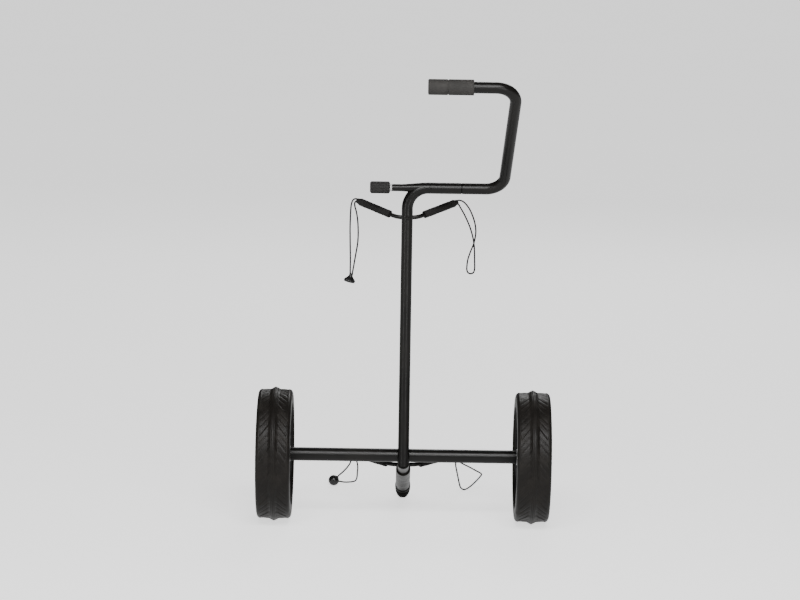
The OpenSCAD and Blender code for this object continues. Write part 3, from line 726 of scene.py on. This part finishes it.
# a sleeve runs out along its rod's arm, with soft waves: r(s) = R - a (1 + sin(k s)) - b sin(m s)
def makeSleeve(level, side, sign, middle):
    rod = cradles[level]
    sweep, rise = math.radians(rod["sweep"]), math.radians(rod["rise"])
    back = math.sin(sweep)
    out = np.array([sign * math.cos(sweep), back * math.cos(rise), back * math.sin(rise)])
    corner = rod["flat"] + rod["bend"] * math.tan(sweep / 2)
    start = (cradles["sleeveStart"] - corner) / math.cos(sweep)
    base = np.array(middle) + np.array([sign * corner, 0, 0])
    l = rod["arm"] - start
    r, edge, bore = cradles["sleeveRadius"], cradles["sleeveEdge"], cradles["rodRadius"]
    (slow, quick), (deep, fine) = cradles["waveTurns"], cradles["waveDepths"]
    s = np.linspace(0.002, l - 0.002, 70)
    waist = r - deep * (1 + np.sin(s * slow + sign)) - fine * np.sin(s * quick)
    profile = [(0.0, bore), (0.0, r - edge - 0.0001)] + roundedEdge((0.0, r - edge), (edge, r), 7)
    profile += list(zip(s, waist)) + roundedEdge((l - edge, r), (l, r - edge), 7) + [(l, bore)]
    name = level + "_" + side + "_sleeve"
    made = turnedObject(name + "_foam", profile, base + out * start, out, 48)
    dress(made, "foam")
    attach(made, "frame")
    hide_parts(name)


for side, sign in (("left", -1), ("right", 1)):
    for level, middle in rodMiddles(cradles).items():
        makeSleeve(level, side, sign, middle)
print("grip and sleeves made")

knobShape = {
    "radius": 0.0135,
    "flutes": 22,
    "fluteDepth": 0.0010,
    "chamfer": 0.0030,
    "boreRadius": 0.0031,
}


# fluted knob: r(s, a) = R(s) - depth times flute(a), and the flutes fade out at the chamfers
def makeKnob(shape):
    low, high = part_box("clamp_knob")
    centre = (low + high) / 2
    length, big, chamfer = high.x - low.x, shape["radius"], shape["chamfer"]
    ends = np.linspace(0, chamfer + 0.0005, 10)
    s = np.concatenate([ends, np.linspace(0.004, length - 0.004, 24), length - ends[::-1]])
    flat = chamfer + 0.0006
    taper = np.interp(s, [0, chamfer, flat, length - flat, length - chamfer, length],
                      [big - chamfer, big - 0.0001, big, big, big - 0.0001, big - chamfer])
    a = np.linspace(0, tau, shape["flutes"] * 16, endpoint=False)
    flute = 1 - smoothStep((np.abs(((shape["flutes"] * a / tau) % 1) - 0.5) * 2 - 0.20) / 0.35)
    fade = smoothStep((s - 0.0008) / 0.003) * smoothStep((length - 0.0008 - s) / 0.003)
    radius = taper[:, None] - shape["fluteDepth"] * flute[None] * fade[:, None]
    face = np.array([[0.0002, 0.0001], [0.0002, 0.0080]])
    along = np.concatenate([face[:, 0], s, [length]])
    ring = np.ones_like(a)[None]
    radius = np.vstack([face[:, 1:] * ring, radius, shape["boreRadius"] * ring])
    x, y, z = low.x + along[:, None] * ring, centre.y + radius * np.cos(a), centre.z + radius * np.sin(a)
    points = np.stack([x, y, z], -1)
    made = gridObject("clamp_knob_fluted", points)
    dress(made, "knob")
    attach(made, "knob")
    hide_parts("clamp_knob")


makeKnob(knobShape)
print("knob made")

knobWeld = {
    "start": -0.020,        # sideways from the middle
    "length": 0.070,
    "smallRadius": 0.0080,
    "swell": 0.0046,
}


# the knob's tube swells into the bar behind it: its radius goes from the small tube's to the bar's along an S
def makeKnobWeld(shape):
    low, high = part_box("knob_tube")
    centre = (low + high) / 2
    s = np.linspace(0, 1, 40)
    x = shape["start"] + shape["length"] * s
    r = shape["smallRadius"] + shape["swell"] * smoothStep(s)
    made = turnedObject("knob_tube_weld", np.stack([x, r], 1), (0, centre.y, centre.z), (1, 0, 0), 64)
    dress(made, "tube")
    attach(made, "frame")


axleWeld = {
    "uprightRadius": 0.0125,
    "axleRadius": 0.015,
    "beadRadius": 0.0016,
    "ripple": 0.0002,
}


# the bead where the upright is welded to the axle tube, along the curve in which the two cylinders meet
def makeAxleWeld(shape):
    upright, axle, offset = shape["uprightRadius"], shape["axleRadius"], cradles["uprightAhead"]
    last = math.acos((offset - axle) / upright) - 0.002
    a = last * np.sin(np.linspace(-math.pi / 2, math.pi / 2, 60))
    over = upright * np.cos(a) - offset
    rise = np.sqrt(np.maximum(axle ** 2 - over ** 2, 0))
    top = np.stack([upright * np.sin(a), over, rise], 1)
    path = np.vstack([top, (top * (1, 1, -1))[::-1][1:-1]])
    path[:, 1] += path[:, 2] * math.tan(math.radians(cradles["lean"]))
    path += (0, axleY, axleZ)
    s = np.arange(len(path))
    made = tubeObject("axle_weld", path, shape["beadRadius"] + shape["ripple"] * np.sin(s * 1.3), 12)
    dress(made, "tube")
    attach(made, "frame")


seamShape = {
    "radius": 0.0119,
    "bore": 0.01098,
    "hollow": 0.0008,
}


# the dark ring in the handle joint: its rim is hollowed, r(s) = R - depth sin(pi s)
def makeSeam(shape):
    low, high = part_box("seam_ring")
    centre = (low + high) / 2
    s = np.linspace(0, 1, 13)
    rim = np.stack([(high.x - low.x) * s, shape["radius"] - shape["hollow"] * np.sin(math.pi * s)], 1)
    bore = [(rim[-1, 0], shape["bore"]), (0.0, shape["bore"]), tuple(rim[0])]
    place = (low.x, centre.y, centre.z)
    made = turnedObject("seam_ring_hollowed", np.vstack([rim, bore]), place, (1, 0, 0), 72)
    dress(made, "cap")
    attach(made, "frame")
    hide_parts("seam_ring")


flangeShape = {
    "radius": 0.0180,
    "edge": 0.0008,
    "length": 0.0086,
    "wall": 0.0040,         # how thick the disc is behind the tube's end
    "pinHole": 0.0061,
    "tubeRadius": 0.01502,
}


# a turned flange at each end of the axle tube: a disc with rounded edges and a lip that grips the tube
def makeFlanges(shape):
    low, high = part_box("hub_flanges")
    centre = (low + high) / 2
    r, edge, end = shape["radius"], shape["edge"], shape["length"]
    wall, pin, tube = shape["wall"], shape["pinHole"], shape["tubeRadius"]
    for name, start, way in (("left", low.x, 1), ("right", high.x, -1)):
        face = roundedEdge((0.0, r - edge), (edge, r), 5)
        lip = [(end - edge, r)] + roundedEdge((end - edge, r), (end, r - edge), 5)
        profile = [(0.0, pin)] + face + lip + [(end, tube), (wall, tube), (wall, pin), (0.0, pin)]
        place = (start, centre.y, centre.z)
        made = turnedObject(name + "_flange_turned", profile, place, (way, 0, 0), 72)
        dress(made, "bright")
        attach(made, "frame")
        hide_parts("hub_flanges")


makeKnobWeld(knobWeld)
makeAxleWeld(axleWeld)
makeSeam(seamShape)
makeFlanges(flangeShape)
print("welds, seam and flanges made")

finishes = {
    "tube": ["main_tube", "knob_tube", "axle_tube", "upper_rod", "lower_rod", "handle_tube",
             "cradle_screw", "cradle_nut"],
    "plastic": ["upper_left_plug", "upper_right_plug", "lower_left_plug", "lower_right_plug",
                "handle_spigot", "grip_plug", "left_rim", "right_rim", "left_hub_cap", "right_hub_cap"],
    "foot": ["foot_tube", "foot_collar"],
    "cap": ["foot_cap"],
    "bright": ["knob_washer"],
    "metal": ["axle_plugs", "left_axle_pin", "right_axle_pin", "detent_balls",
              "left_release_pin", "right_release_pin", "left_release_spring", "right_release_spring",
              "tie_rod", "left_bearings", "right_bearings"],
}
for look, names in finishes.items():
    for name in names:
        dress(nodes[name], look)
print("finishes given")

studio = {
    "floorReach": 70.0,
    "floorGlow": 1.3,
    "glowBelow": 0.95,      # what the undersides mirror, in place of the floor itself
    "glowAbove": 0.05,
    "lights": {             # where it stands, what it faces, its size and its power
        "overhead": ((0.0, -3.4, 3.6), (0, 0, 0.6), (3.4, 1.5), 190),
        "behind": ((0.8, 4.5, 3.2), (0, 0, 0.5), (2.4, 1.6), 60),
        "front": ((0.3, -5.0, 2.4), (0, 0, 0.8), (1.6, 1.0), 50),
        "left_strip": ((-2.7, -3.0, 1.0), (0, 0, 0.6), (0.7, 2.0), 26),
        "right_strip": ((1.7, -3.6, 1.0), (0, 0, 0.6), (0.5, 2.0), 26),
    },
}


# the floor glows evenly for the camera and leaves the light on the object to the room
def makeFloor(reach, glow):
    points = np.array([[[x, y, 0.0] for y in (-reach, 0.0, reach)] for x in (-reach, 0.0, reach)])
    made = gridObject("floor", points, closeColumns=False, caps=False, flip=True)
    made.data.materials.append(material("white_floor", lambda place, along: {
        "Emission_Color": place.noise(0.6, 2.0).blend(grey(0.97), grey(1.0)),
        "Roughness": 0.60 + place.noise(3.0, 2.0) * 0.1,
    }, Base_Color=grey(0.8), Emission_Strength=glow, Specular_IOR_Level=0.2))
    made.visible_diffuse = False
    made.visible_glossy = False


def areaLight(name, place, target, size, power):
    data = bpy.data.lights.new(name, "AREA")
    data.shape = "RECTANGLE"
    data.size, data.size_y = size
    data.energy = power
    made = bpy.data.objects.new(name, data)
    bpy.context.scene.collection.objects.link(made)
    made.location = place
    aim = Vector(target) - Vector(place)
    made.rotation_euler = aim.to_track_quat("-Z", "Y").to_euler()


# the room: one brightness below the horizon, another above it
def makeWorld(below, above):
    world = bpy.data.worlds.new("studio")
    world.use_nodes = True
    tree = world.node_tree
    direction = Wire(tree, tree.nodes.new("ShaderNodeTexCoord").outputs["Generated"])
    strength = direction.part("Z").ramp(-0.15, 0.05) * (above - below) + below
    tree.links.new(strength.socket, tree.nodes["Background"].inputs["Strength"])
    tree.nodes["Background"].inputs["Color"].default_value = (1, 1, 1, 1)
    bpy.context.scene.world = world


makeFloor(studio["floorReach"], studio["floorGlow"])
makeWorld(studio["glowBelow"], studio["glowAbove"])
for name, values in studio["lights"].items():
    areaLight(name, *values)
print("floor and light made")
